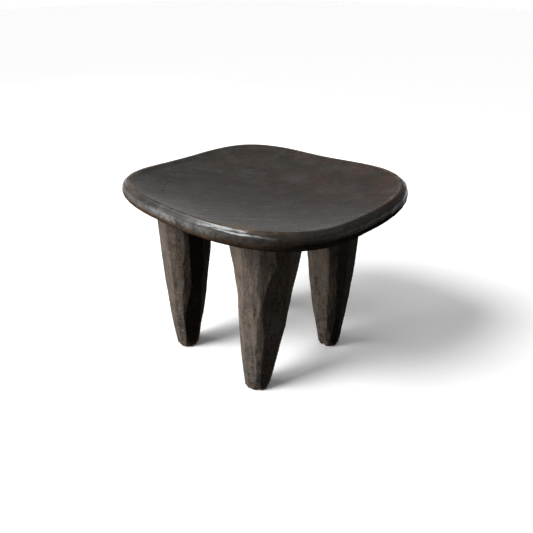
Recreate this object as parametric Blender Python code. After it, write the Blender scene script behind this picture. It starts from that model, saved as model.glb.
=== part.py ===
"""Carved wooden stool: a dished seat on four hewn, tapering legs held by blind tenons.

Metres, +Z up, feet on z = 0. The seat is centred over the origin with its length along X.
"""
import math
import random
from dataclasses import dataclass

import bmesh
import bpy

# Seat slab
SEAT_LENGTH = 0.356
SEAT_WIDTH = 0.306
SEAT_HEIGHT = 0.2357           # floor to the bottom of the dish
SEAT_THICKNESS = 0.0227
SEAT_SQUARENESS = 3.13         # exponent of the outline: 2 gives an ellipse, more is squarer
SEAT_END_SWELL = 0.0022        # how much fuller the -X end is than the +X end
DISH_RISE_LENGTH = 0.013       # from the middle of the dish up to the ends
DISH_RISE_WIDTH = 0.019        # from the middle of the dish up to the long sides
SEAT_LEAN_LENGTH = 0.0015      # the +X end stands this much higher than the -X end
SEAT_LEAN_WIDTH = 0.0039       # the +Y side stands this much higher than the -Y side
EDGE_ROLL = 0.0083             # width of the rounding along the edge, above and below
RIM_ROUND = 0.0061             # height of the upper rounding
UNDER_ROUND = 0.0110           # height of the lower rounding

# Legs
LEG_INSET_LENGTH = 0.1035      # from each end of the seat in to the tenons
LEG_INSET_WIDTH = 0.0825       # from each long side of the seat in to the tenons
LEG_SPACING_LENGTH = SEAT_LENGTH - 2 * LEG_INSET_LENGTH
LEG_SPACING_WIDTH = SEAT_WIDTH - 2 * LEG_INSET_WIDTH
LEG_FOOT = 0.031               # thickness at the floor
LEG_DEPTH = 0.077              # thickness at the shoulder, towards the middle of the seat
LEG_SWELL = 0.009              # how much fuller the middle is than a straight taper
LEG_BREADTH = 0.002            # how much wider than deep a leg is
LEG_FLARE = 0.016              # how much wider still it grows at the shoulder
FLARE_HEIGHT = 0.072           # how far below the shoulder the flare starts
FOOT_EASE = 0.0022             # worn edge round the foot
HEWN_DEPTH = 0.0016            # how far a hewn edge may lie inside the leg's full section
EDGE_WANDER = 4.0              # how far a hewn edge strays to either side, in degrees
LEAN_CURVE = 1.5               # 1 leans straight from the shoulder, more bends towards the foot

# Joints between the legs and the seat
FIT_GAP = 0.0003
LEG_SHOULDER = 0.018           # width of the shoulder round the tenon
MORTISE_ROOF = 0.0085          # wood left between a mortise and the top of the seat
TENON_ROOT = 0.012             # how far the tenon is carried down into the leg

# Fineness of the shapes
OUTLINE_STEPS = 96
DISH_RINGS = 6
ROLL_STEPS = 4
LEG_LEVELS = 12
CUT_LEVELS = 3                 # levels that one adze cut runs through
TENON_SIDES = 32
MERGE_DISTANCE = 0.00001       # joins the points of the turned blank that lie on its axis

# Finish: waxed and rubbed on the seat, bare from the adze on the legs
SEAT_COLOUR = (0.034, 0.027, 0.023, 1.0)
SEAT_ROUGHNESS = 0.38
LEG_COLOUR = (0.072, 0.057, 0.046, 1.0)
LEG_ROUGHNESS = 0.6


@dataclass(frozen=True)
class Leg:
    """One leg: its corner of the seat, how far its top and foot stray, and its hewn edges.

    A stray is outward from the middle of the seat, or a turn to the left of that. The edges are in degrees
    round the leg, anticlockwise from straight outward, and cuts seeds their small irregularities.
    """
    name: str
    side_x: int
    side_y: int
    top_out: float
    top_turn: float
    foot_out: float
    foot_turn: float
    edges: tuple
    cuts: int


LEGS = (
    Leg("leg_front_left", -1, -1, 0.000, 0.001, 0.0065, 0.000,
        (22, 56, 82, 106, 142, 180, 222, 262, 304, 346), 132),
    Leg("leg_front_right", 1, -1, 0.002, 0.0022, 0.0030, -0.0125,
        (13, 42, 80, 118, 158, 194, 232, 270, 314, 356), 455),
    Leg("leg_back_right", 1, 1, -0.003, -0.001, 0.0028, 0.000,
        (20, 58, 98, 138, 178, 218, 262, 282, 306, 342), 250),
    Leg("leg_back_left", -1, 1, 0.000, 0.001, 0.0020, 0.002,
        (8, 40, 80, 118, 150, 190, 228, 262, 300, 332), 41),
)


def clear_scene():
    """Remove every object from the scene."""
    for obj in list(bpy.data.objects):
        bpy.data.objects.remove(obj, do_unlink=True)


def new_collection(name):
    """Add a collection to the scene."""
    collection = bpy.data.collections.new(name)
    bpy.context.scene.collection.children.link(collection)
    return collection


def wood(name, colour, roughness):
    """Dark oiled wood."""
    material = bpy.data.materials.new(name)
    material.use_nodes = True
    shader = material.node_tree.nodes["Principled BSDF"]
    shader.inputs["Base Color"].default_value = colour
    shader.inputs["Roughness"].default_value = roughness
    shader.inputs["Metallic"].default_value = 0.0
    return material


def add_object(name, bm, collection, parent):
    """Turn a bmesh into a named object under the stool's empty."""
    bmesh.ops.recalc_face_normals(bm, faces=bm.faces)
    mesh = bpy.data.meshes.new(name)
    bm.to_mesh(mesh)
    bm.free()
    obj = bpy.data.objects.new(name, mesh)
    obj.parent = parent
    collection.objects.link(obj)
    return obj


def make_cutter(obj):
    """Keep a helper shape out of the finished stool."""
    obj.hide_render = True
    obj.display_type = "WIRE"


def add_boolean(obj, operand, operation):
    """Cut or join one shape with another."""
    modifier = obj.modifiers.new(operand.name, "BOOLEAN")
    modifier.object = operand
    modifier.operation = operation
    modifier.solver = "EXACT"


def outline_radius(angle):
    """Distance from the middle of the seat to its edge in one direction."""
    along = abs(math.cos(angle)) / (SEAT_LENGTH / 2)
    across = abs(math.sin(angle)) / (SEAT_WIDTH / 2)
    square = (along ** SEAT_SQUARENESS + across ** SEAT_SQUARENESS) ** (-1 / SEAT_SQUARENESS)
    return square - SEAT_END_SWELL * math.cos(3 * angle)


def dish(x, y):
    """Height of the dished top above the bottom of the dish."""
    ends = DISH_RISE_LENGTH * (2 * x / SEAT_LENGTH) ** 2
    sides = DISH_RISE_WIDTH * (2 * y / SEAT_WIDTH) ** 2
    lean = SEAT_LEAN_LENGTH * x / SEAT_LENGTH + SEAT_LEAN_WIDTH * y / SEAT_WIDTH
    return ends + sides + lean


def edge_profile(blank_radius):
    """Half section of the flat round blank: out over the top, round the edge, back underneath."""
    inner = blank_radius - EDGE_ROLL
    top = [(inner * ring / DISH_RINGS, 0.0) for ring in range(DISH_RINGS)]
    under = [(radius, -SEAT_THICKNESS) for radius, _ in reversed(top)]
    quarter = [math.pi / 2 * step / ROLL_STEPS for step in range(ROLL_STEPS + 1)]
    rim = [(inner + EDGE_ROLL * math.sin(a), RIM_ROUND * (math.cos(a) - 1)) for a in quarter]
    low = [(inner + EDGE_ROLL * math.cos(a), UNDER_ROUND * (1 - math.sin(a)) - SEAT_THICKNESS)
           for a in quarter]
    return top + rim + low + under


def seat_shape():
    """The slab: a turned round blank, drawn out to the squarish outline and dished."""
    blank_radius = (SEAT_LENGTH + SEAT_WIDTH) / 4
    inner = blank_radius - EDGE_ROLL
    bm = bmesh.new()
    verts = [bm.verts.new((radius, 0.0, z)) for radius, z in edge_profile(blank_radius)]
    edges = [bm.edges.new(pair) for pair in zip(verts, verts[1:])]
    bmesh.ops.spin(bm, geom=verts + edges, cent=(0, 0, 0), axis=(0, 0, 1), angle=2 * math.pi,
                   steps=OUTLINE_STEPS, use_merge=True)
    bmesh.ops.remove_doubles(bm, verts=bm.verts, dist=MERGE_DISTANCE)
    for vert in bm.verts:
        angle = math.atan2(vert.co.y, vert.co.x)
        radius = math.hypot(vert.co.x, vert.co.y)
        growth = outline_radius(angle) - blank_radius
        radius += growth * min(radius / inner, 1.0)
        vert.co.x = radius * math.cos(angle) + SEAT_END_SWELL
        vert.co.y = radius * math.sin(angle)
        vert.co.z += dish(vert.co.x, vert.co.y)
    bmesh.ops.triangulate(bm, faces=bm.faces)
    return bm


def leg_place(leg):
    """Direction of a leg's corner and the place of its tenon."""
    x = leg.side_x * LEG_SPACING_LENGTH / 2
    y = leg.side_y * LEG_SPACING_WIDTH / 2
    outward = math.atan2(y, x)
    x += leg.top_out * math.cos(outward) - leg.top_turn * math.sin(outward)
    y += leg.top_out * math.sin(outward) + leg.top_turn * math.cos(outward)
    return outward, x, y


def shoulder_height(x, y):
    """Height of the seat's underside over one point of the floor."""
    return SEAT_HEIGHT + dish(x, y) - SEAT_THICKNESS


def leg_section(height, shoulder):
    """Half depth and half width of a leg at one height."""
    share = height / shoulder
    depth = LEG_FOOT + (LEG_DEPTH - LEG_FOOT) * share + 4 * LEG_SWELL * share * (1 - share)
    flare = LEG_FLARE * max(0.0, 1 - (shoulder - height) / FLARE_HEIGHT)
    return depth / 2, (depth + LEG_BREADTH + flare) / 2


def broken_line(chance):
    """A value between 0 and 1 at each level of a leg, straight between breaks that start anywhere."""
    first = chance.randrange(CUT_LEVELS)
    breaks = [chance.random() for _ in range(LEG_LEVELS // CUT_LEVELS + 3)]
    values = []
    for level in range(LEG_LEVELS + 1):
        run, step = divmod(level + first, CUT_LEVELS)
        share = step / CUT_LEVELS
        values.append(breaks[run] * (1 - share) + breaks[run + 1] * share)
    return values


def leg_blank(leg, shoulder):
    """A leg hewn from the foot up into the slab, before its shoulder is scribed."""
    chance = random.Random(leg.cuts)
    turns = [broken_line(chance) for _ in leg.edges]
    cuts = [broken_line(chance) for _ in leg.edges]
    top = shoulder + SEAT_THICKNESS / 2
    heights = [0.0, FOOT_EASE] + [top * level / (LEG_LEVELS - 1) for level in range(1, LEG_LEVELS)]

    def corner(edge, level):
        """Where one hewn edge passes one level, with the leg's lean added."""
        half_depth, half_width = leg_section(heights[level], shoulder)
        angle = math.radians(leg.edges[edge] + EDGE_WANDER * (2 * turns[edge][level] - 1))
        full = 1 - HEWN_DEPTH * cuts[edge][level] / (LEG_DEPTH / 2)
        if level == 0:
            full -= FOOT_EASE / half_depth
        lean = max(0.0, 1 - heights[level] / shoulder) ** LEAN_CURVE
        x = full * half_depth * math.cos(angle) + leg.foot_out * lean
        y = full * half_width * math.sin(angle) + leg.foot_turn * lean
        return x, y, heights[level]

    bm = bmesh.new()
    edge_count = len(leg.edges)
    bmesh.ops.create_cone(bm, cap_ends=True, segments=edge_count, radius1=1.0, radius2=1.0, depth=1.0)
    uprights = [edge for edge in bm.edges if edge.verts[0].co.z * edge.verts[1].co.z < 0]
    bmesh.ops.subdivide_edges(bm, edges=uprights, cuts=LEG_LEVELS - 1)
    for vert in bm.verts:
        edge = round(math.atan2(-vert.co.x, vert.co.y) / (2 * math.pi) * edge_count) % edge_count
        level = round((vert.co.z + 0.5) * LEG_LEVELS)
        vert.co = corner(edge, level)
    bmesh.ops.triangulate(bm, faces=bm.faces)
    return bm


def round_peg(radius, low, high):
    """An upright round peg between two heights."""
    bm = bmesh.new()
    bmesh.ops.create_cone(bm, cap_ends=True, segments=TENON_SIDES, radius1=radius, radius2=radius,
                          depth=high - low)
    bmesh.ops.translate(bm, verts=bm.verts, vec=(0, 0, (low + high) / 2))
    return bm


def place_on_floor(obj, outward, x, y):
    """Stand a leg or its tenon under its corner, turned to face outward."""
    obj.location = (x, y, 0.0)
    obj.rotation_euler = (0.0, 0.0, outward)


def build_leg(leg, seat, scribe, parts, cutters, stool, material):
    """One leg with its tenon, and the mortise for it in the seat."""
    outward, x, y = leg_place(leg)
    shoulder = shoulder_height(x, y)
    tenon_radius = LEG_DEPTH / 2 - LEG_SHOULDER
    tenon_top = shoulder + SEAT_THICKNESS - MORTISE_ROOF - FIT_GAP
    tenon_foot = shoulder - TENON_ROOT

    obj = add_object(leg.name, leg_blank(leg, shoulder), parts, stool)
    tenon = add_object(leg.name + "_tenon", round_peg(tenon_radius, tenon_foot, tenon_top), cutters, stool)
    mortise = add_object(leg.name + "_mortise",
                         round_peg(tenon_radius + FIT_GAP, tenon_foot, tenon_top + FIT_GAP), cutters, stool)
    for piece in (obj, tenon, mortise):
        place_on_floor(piece, outward, x, y)
    make_cutter(tenon)
    make_cutter(mortise)
    add_boolean(obj, scribe, "DIFFERENCE")
    add_boolean(obj, tenon, "UNION")
    add_boolean(seat, mortise, "DIFFERENCE")
    obj.data.materials.append(material)


def main():
    """Build the stool."""
    clear_scene()
    parts = new_collection("carved_wooden_stool")
    cutters = new_collection("cutters")
    stool = bpy.data.objects.new("stool", None)
    parts.objects.link(stool)

    seat = add_object("seat", seat_shape(), parts, stool)
    seat.location.z = SEAT_HEIGHT
    seat.data.materials.append(wood("seat_wood", SEAT_COLOUR, SEAT_ROUGHNESS))
    seat.data.shade_smooth()
    scribe = add_object("underside_scribe", seat_shape(), cutters, stool)
    scribe.location.z = SEAT_HEIGHT - FIT_GAP
    make_cutter(scribe)

    leg_wood = wood("leg_wood", LEG_COLOUR, LEG_ROUGHNESS)
    for leg in LEGS:
        build_leg(leg, seat, scribe, parts, cutters, stool, leg_wood)


main()
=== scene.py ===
"""Dressed carved wooden stool: a waxed, dished seat on four adze-hewn legs.

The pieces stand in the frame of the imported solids: metres, +Z up, feet on z = 0, the seat's length along X.
"""

import bisect
import logging
import math
import random
from collections.abc import Callable
from dataclasses import dataclass
from enum import Enum

import bmesh
import bpy
from mathutils import Matrix, Vector, noise

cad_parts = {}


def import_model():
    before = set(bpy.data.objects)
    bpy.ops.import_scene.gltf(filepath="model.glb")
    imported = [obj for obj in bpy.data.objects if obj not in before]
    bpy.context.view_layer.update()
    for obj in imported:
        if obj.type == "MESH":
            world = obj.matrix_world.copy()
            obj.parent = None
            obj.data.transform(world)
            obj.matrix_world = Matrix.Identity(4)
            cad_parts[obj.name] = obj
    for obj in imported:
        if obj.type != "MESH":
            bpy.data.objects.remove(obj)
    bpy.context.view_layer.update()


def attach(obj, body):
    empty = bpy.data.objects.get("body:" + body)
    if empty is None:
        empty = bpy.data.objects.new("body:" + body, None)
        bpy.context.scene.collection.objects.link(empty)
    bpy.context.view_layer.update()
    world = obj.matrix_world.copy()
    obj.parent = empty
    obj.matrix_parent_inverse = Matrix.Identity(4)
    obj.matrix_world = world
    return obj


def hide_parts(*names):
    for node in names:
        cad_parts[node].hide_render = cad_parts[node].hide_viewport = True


log = logging.getLogger("stool")

Pair = tuple[float, float]
Colour = tuple[float, float, float]
Socket = bpy.types.NodeSocket
Sockets = bpy.types.bpy_prop_collection
BMesh = bmesh.types.BMesh
BMFace = bmesh.types.BMFace
BMVert = bmesh.types.BMVert
BODY = "root"
MERGE_DISTANCE = 0.00001


class Mark(Enum):
    """Values kept on the points of a mesh for its finish to read."""
    RIM = "rim_wear_and_highlight"
    WALL = "edge_face"
    SCUFF_AND_REFLECTION = "edge_scuff_and_reflection"
    LOWER = "lower_wear"
    UNDER = "underside"
    ARRIS = "arris_wear"
    PAINTED_SHADE = "painted_shade"
    PAINTED_LIGHT_LEVEL = "painted_light_level"
    PAINTED_HOLLOW_SHADE = "painted_hollow_shade"


class Blade(Enum):
    """How one stroke of the adze leaves the wood."""
    FLAT = "flat"
    SCOOP = "scoop"


def bell(distance: float, spread: float) -> float:
    """A smooth hump of height 1 at distance 0."""
    return math.exp(-(distance / spread) ** 2)


def smooth_step(low: float, high: float, value: float) -> float:
    """A smooth rise from 0 at low to 1 at high."""
    share = min(max((value - low) / (high - low), 0.0), 1.0)
    return share * share * (3 - 2 * share)


def eased_corner(before: Vector, corner: Vector, after: Vector, ease: float, steps: int) -> list[Vector]:
    """Round off a corner of a profile.

    Args:
        before: A point that the profile comes from.
        corner: The corner.
        after: A point that the profile goes on to.
        ease: How far from the corner the rounding starts and ends.
        steps: Number of steps in the rounding.

    Returns:
        The points of the rounding.
    """
    start = corner + (before - corner).normalized() * ease
    end = corner + (after - corner).normalized() * ease
    shares = [step / steps for step in range(steps + 1)]
    return [start.lerp(corner, share).lerp(corner.lerp(end, share), share) for share in shares]


def turn_between(angle: float, other: float) -> float:
    """The smaller turn between two directions, in degrees."""
    return abs((angle - other + 180) % 360 - 180)


def direction(turn: float, rise: float = 0.0) -> Vector:
    """The direction at a turn from +X and a rise above the floor, both in degrees."""
    level = math.cos(math.radians(rise))
    return Vector((math.cos(math.radians(turn)) * level, math.sin(math.radians(turn)) * level,
                   math.sin(math.radians(rise))))


def bracket(marks: list[float], value: float) -> tuple[int, float]:
    """Find the step of a rising list that a value falls in.

    Args:
        marks: The list.
        value: The value.

    Returns:
        Where the step's upper end stands in the list, and how far up the step the value lies.
    """
    high = min(max(bisect.bisect(marks, value), 1), len(marks) - 1)
    return high, (value - marks[high - 1]) / (marks[high] - marks[high - 1])


def wrapped(x: float, y: float, z: float, scale: Pair, seed: float = 0.0) -> Vector:
    """A place in a pattern that has one scale round a piece and another up it."""
    return Vector((x * scale[0], y * scale[0], z * scale[1] + seed))


def tool_mark(place: Vector) -> float:
    """The square of the distance to the middle of the nearest mark, in a pattern of tool marks."""
    return noise.voronoi(place, distance_metric="DISTANCE_SQUARED")[0][0]


@dataclass(frozen=True)
class Sector:
    """A stretch of the seat's edge: its turn from +X and its half width in degrees, and its strength."""
    turn: float
    spread: float
    strength: float = 1.0

    def at(self, angle: float) -> float:
        """How strongly the stretch counts in one direction, in degrees."""
        return self.strength * bell(turn_between(angle, self.turn), self.spread)


def keep_mark(bm: BMesh, mark: Mark, value: Callable[[BMVert], float]) -> None:
    """Keep a value on every point of a mesh.

    Args:
        bm: The mesh.
        mark: What the value is for.
        value: Gives the value at one point.
    """
    layer = bm.verts.layers.float.get(mark.value) or bm.verts.layers.float.new(mark.value)
    for vert in bm.verts:
        vert[layer] = value(vert)


def keep_relief(bm: BMesh, gain: float) -> None:
    """Mark the points that stand out of their surroundings, and those that lie below them, where the finishes
    paint shade.

    Args:
        bm: The mesh, with its normals up to date.
        gain: How strongly a bend of the surface shows in the marks.
    """
    bends = []
    for vert in bm.verts:
        around = [edge.other_vert(vert).co for edge in vert.link_edges]
        middle = sum(around, Vector()) / len(around)
        reach = sum((co - vert.co).length for co in around) / len(around)
        bends.append(gain * (vert.co - middle).dot(vert.normal) / max(reach, MERGE_DISTANCE))
    bm.verts.index_update()
    keep_mark(bm, Mark.ARRIS, lambda vert: min(max(bends[vert.index], 0.0), 1.0))
    keep_mark(bm, Mark.PAINTED_HOLLOW_SHADE, lambda vert: min(max(-bends[vert.index], 0.0), 1.0))


def raise_lid(bm: BMesh, lid: BMFace) -> tuple[list[BMVert], BMFace]:
    """Extrude a face of a closed mesh and take out the old one, which would be left inside.

    Args:
        bm: The mesh.
        lid: The face.

    Returns:
        The points of the new face, and the new face.
    """
    grown = bmesh.ops.extrude_face_region(bm, geom=[lid])["geom"]
    bmesh.ops.delete(bm, geom=[lid], context="FACES_ONLY")
    verts = [item for item in grown if isinstance(item, BMVert)]
    return verts, next(item for item in grown if isinstance(item, BMFace))


def add_piece(name: str, bm: BMesh) -> bpy.types.Object:
    """Turn a mesh into an object of the scene.

    Args:
        name: The piece's name.
        bm: Its mesh, already in place; it is used up.

    Returns:
        The object, at the origin.
    """
    mesh = bpy.data.meshes.new(name)
    bm.to_mesh(mesh)
    bm.free()
    mesh.shade_smooth()
    obj = bpy.data.objects.new(name, mesh)
    bpy.context.scene.collection.objects.link(obj)
    return obj


def hand_over(obj: bpy.types.Object, node: str) -> None:
    """Let a piece stand for a solid of the frame and ride with it."""
    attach(obj, BODY)
    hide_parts(node)


def hang(name: str, data: bpy.types.ID, place: Vector, facing: Vector) -> bpy.types.Object:
    """Put a lamp or the camera in the scene.

    Args:
        name: Its name.
        data: The lamp or the camera.
        place: Where it stands.
        facing: Which way it looks.

    Returns:
        The object.
    """
    obj = bpy.data.objects.new(name, data)
    obj.location = place
    obj.rotation_euler = facing.to_track_quat("-Z", "Y").to_euler()
    bpy.context.scene.collection.objects.link(obj)
    return obj


@dataclass(frozen=True)
class Cloud:
    """A cloudy pattern: its scale, detail and roughness, and the stretch of its values that is spread out.

    The values from low to high are spread from to_low to to_high and held there.
    """
    scale: float
    detail: float
    roughness: float
    low: float
    high: float
    to_low: float = 0.0
    to_high: float = 1.0


class Graph:
    """A node tree that is being laid out."""

    def __init__(self, tree: bpy.types.NodeTree) -> None:
        """Start with a tree as it stands."""
        self.tree = tree

    def feed(self, socket: Socket, value: object) -> None:
        """Link another socket into this one, or set it to a plain value."""
        if isinstance(value, bpy.types.NodeSocket):
            self.tree.links.new(value, socket)
        else:
            socket.default_value = value

    def node(self, kind: str, inputs: dict | None = None, **settings: object) -> bpy.types.Node:
        """Add a node.

        Args:
            kind: The node's type.
            inputs: What feeds its sockets, by their names.
            settings: Its other settings.

        Returns:
            The node.
        """
        node = self.tree.nodes.new(kind)
        for name, value in settings.items():
            setattr(node, name, value)
        for name, value in (inputs or {}).items():
            self.feed(node.inputs[name], value)
        return node

    def group(self, tree: bpy.types.NodeTree, **inputs: object) -> Sockets:
        """Add a shared group, feed its sockets and give its outputs."""
        return self.node("ShaderNodeGroup", inputs, node_tree=tree).outputs

    def math(self, operation: str, first: object, second: object = 0.0, held: bool = True) -> Socket:
        """Work out one value from two, held between 0 and 1 unless told otherwise."""
        node = self.node("ShaderNodeMath", operation=operation, use_clamp=held)
        self.feed(node.inputs[0], first)
        self.feed(node.inputs[1], second)
        return node.outputs["Value"]

    def total(self, first: object, *parts: tuple[Socket, float]) -> Socket:
        """Add further values to a first one, each with its weight."""
        for value, weight in parts:
            first = self.math("ADD", first, self.math("MULTIPLY", value, weight))
        return first

    def mix(self, share: object, low: object, high: object) -> Socket:
        """Mix two colours.

        Args:
            share: How much of the second colour there is.
            low: The first colour.
            high: The second colour.

        Returns:
            The mixed colour.
        """
        node = self.node("ShaderNodeMix", data_type="RGBA")
        self.feed(node.inputs[0], share)
        self.feed(node.inputs[6], opaque(low))
        self.feed(node.inputs[7], opaque(high))
        return node.outputs[2]

    def glaze(self, colour: Socket, *coats: tuple[Socket, object, object]) -> Socket:
        """Lay coats of colour over one another.

        Args:
            colour: The colour underneath.
            coats: Where each coat lies, how strongly (None for in full) and its colour.

        Returns:
            The colour on top.
        """
        for mask, strength, tint in coats:
            share = mask if strength is None else self.math("MULTIPLY", mask, strength)
            colour = self.mix(share, colour, tint)
        return colour

    def span(self, value: Socket, low: float, high: float, to_low: float = 0.0,
             to_high: float = 1.0) -> Socket:
        """Stretch part of a value's range over another range, and hold it there."""
        inputs = {"Value": value, "From Min": low, "From Max": high, "To Min": to_low, "To Max": to_high}
        return self.node("ShaderNodeMapRange", inputs).outputs["Result"]

    def cloud(self, vector: Socket, cloud: Cloud) -> Socket:
        """Lay a cloudy pattern over a piece."""
        inputs = {"Vector": vector, "Scale": cloud.scale, "Detail": cloud.detail,
                  "Roughness": cloud.roughness}
        value = self.node("ShaderNodeTexNoise", inputs).outputs["Fac"]
        return self.span(value, cloud.low, cloud.high, cloud.to_low, cloud.to_high)

    def turned(self, vector: Socket, turn: tuple[float, float, float]) -> Socket:
        """Turn a pattern."""
        return self.node("ShaderNodeMapping", {"Vector": vector, "Rotation": turn}).outputs["Vector"]

    def mark(self, mark: Mark) -> Socket:
        """Read a value kept on the mesh."""
        return self.node("ShaderNodeAttribute", attribute_name=mark.value).outputs["Fac"]

    def surface(self, colour: Socket, rough: Socket, height: Socket, bump: Pair,
                specular: float) -> None:
        """Feed the material's own shader.

        Args:
            colour: The base colour.
            rough: The roughness.
            height: The fine relief.
            bump: Strength and depth of that relief.
            specular: How strongly the surface shines.
        """
        shader = self.tree.nodes["Principled BSDF"]
        relief = self.node("ShaderNodeBump", {"Height": height, "Strength": bump[0], "Distance": bump[1]})
        self.feed(shader.inputs["Base Color"], colour)
        self.feed(shader.inputs["Roughness"], rough)
        self.feed(shader.inputs["Normal"], relief.outputs["Normal"])
        shader.inputs["Specular IOR Level"].default_value = specular


def opaque(colour: object) -> object:
    """Add full alpha to a plain colour, and pass a socket on as it is."""
    return (*colour, 1.0) if isinstance(colour, tuple) else colour


def new_group(name: str, inputs: dict[str, str], outputs: list[str]) -> tuple[Graph, Sockets, Sockets]:
    """Start a shared group of shader nodes.

    Args:
        name: The group's name.
        inputs: Its input sockets and their types.
        outputs: Its output values.

    Returns:
        The group's graph, what it is given and what it puts out.
    """
    tree = bpy.data.node_groups.new(name, "ShaderNodeTree")
    for label, kind in inputs.items():
        tree.interface.new_socket(name=label, in_out="INPUT", socket_type=kind)
    for label in outputs:
        tree.interface.new_socket(name=label, in_out="OUTPUT", socket_type="NodeSocketFloat")
    graph = Graph(tree)
    return graph, graph.node("NodeGroupInput").outputs, graph.node("NodeGroupOutput").inputs


def new_finish(name: str) -> tuple[bpy.types.Material, Graph, Socket]:
    """Start a finish: its material, the graph of its nodes and the place of a point on the piece."""
    material = bpy.data.materials.new(name)
    material.use_nodes = True
    graph = Graph(material.node_tree)
    return material, graph, graph.node("ShaderNodeTexCoord").outputs["Object"]


@dataclass
class Effects:
    """The shader groups that the stool's finishes share, and the patterns that they are made of."""
    streak: Cloud = Cloud(1.0, 5.0, 0.62, 0.3, 0.7)
    ring: Cloud = Cloud(0.42, 2.0, 0.5, 0.0, 1.0)
    ring_line: float = 0.012
    pore: Cloud = Cloud(2.6, 1.0, 0.5, 0.62, 0.74)
    coarse_wear: Cloud = Cloud(38.0, 3.0, 0.6, 0.38, 0.62, 0.12)
    fine_wear: Cloud = Cloud(260.0, 2.0, 0.6, 0.35, 0.65, 0.25)
    bloom_patch: Cloud = Cloud(30.0, 4.0, 0.65, 0.45, 0.72)
    bloom_speck: Cloud = Cloud(420.0, 2.0, 0.5, 0.2, 0.7, 0.4)

    def __post_init__(self) -> None:
        """Make each group once."""
        self.grain = self.make_grain()
        self.wear = self.make_wear()
        self.bloom = self.make_bloom()

    def grained(self, graph: Graph, vector: Socket, scales: Pair) -> Sockets:
        """Lay grain over a piece, by its scales along and across."""
        return graph.group(self.grain, Vector=vector, Along=scales[0], Across=scales[1])

    def worn(self, graph: Graph, vector: Socket, mask: Socket, amount: float) -> Socket:
        """Lay wear over a piece where a mask shows it."""
        return graph.group(self.wear, Vector=vector, Mask=mask, Amount=amount)["Wear"]

    def make_grain(self) -> bpy.types.NodeTree:
        """Wood grain along X: broad streaks, thin lines and open pores."""
        kinds = {"Vector": "NodeSocketVector", "Along": "NodeSocketFloat", "Across": "NodeSocketFloat"}
        graph, given, result = new_group("wood_grain", kinds, ["Streak", "Line", "Pore"])
        scales = {"X": given["Along"], "Y": given["Across"], "Z": given["Across"]}
        stretch = graph.node("ShaderNodeCombineXYZ", scales)
        drawn = graph.node("ShaderNodeVectorMath", operation="MULTIPLY")
        graph.feed(drawn.inputs[0], given["Vector"])
        graph.feed(drawn.inputs[1], stretch.outputs["Vector"])
        vector = drawn.outputs["Vector"]
        aside = graph.math("SUBTRACT", graph.cloud(vector, self.ring), 0.5, held=False)
        away = graph.math("ABSOLUTE", aside)
        graph.feed(result["Streak"], graph.cloud(vector, self.streak))
        graph.feed(result["Line"], graph.span(away, 0.0, self.ring_line, 1.0, 0.0))
        graph.feed(result["Pore"], graph.cloud(vector, self.pore))
        return graph.tree

    def make_wear(self) -> bpy.types.NodeTree:
        """Rubbed edges: a mark on the mesh, broken up so that it comes and goes."""
        kinds = {"Vector": "NodeSocketVector", "Mask": "NodeSocketFloat", "Amount": "NodeSocketFloat"}
        graph, given, result = new_group("edge_wear", kinds, ["Wear"])
        coarse = graph.cloud(given["Vector"], self.coarse_wear)
        broken = graph.math("MULTIPLY", coarse, graph.cloud(given["Vector"], self.fine_wear))
        worn = graph.math("MULTIPLY", given["Mask"], broken)
        graph.feed(result["Wear"], graph.math("MULTIPLY", worn, given["Amount"]))
        return graph.tree

    def make_bloom(self) -> bpy.types.NodeTree:
        """A pale grey bloom and settled dust, in soft patches."""
        kinds = {"Vector": "NodeSocketVector", "Amount": "NodeSocketFloat"}
        graph, given, result = new_group("grey_bloom", kinds, ["Bloom"])
        patch = graph.cloud(given["Vector"], self.bloom_patch)
        specked = graph.math("MULTIPLY", patch, graph.cloud(given["Vector"], self.bloom_speck))
        graph.feed(result["Bloom"], graph.math("MULTIPLY", specked, given["Amount"]))
        return graph.tree


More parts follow.
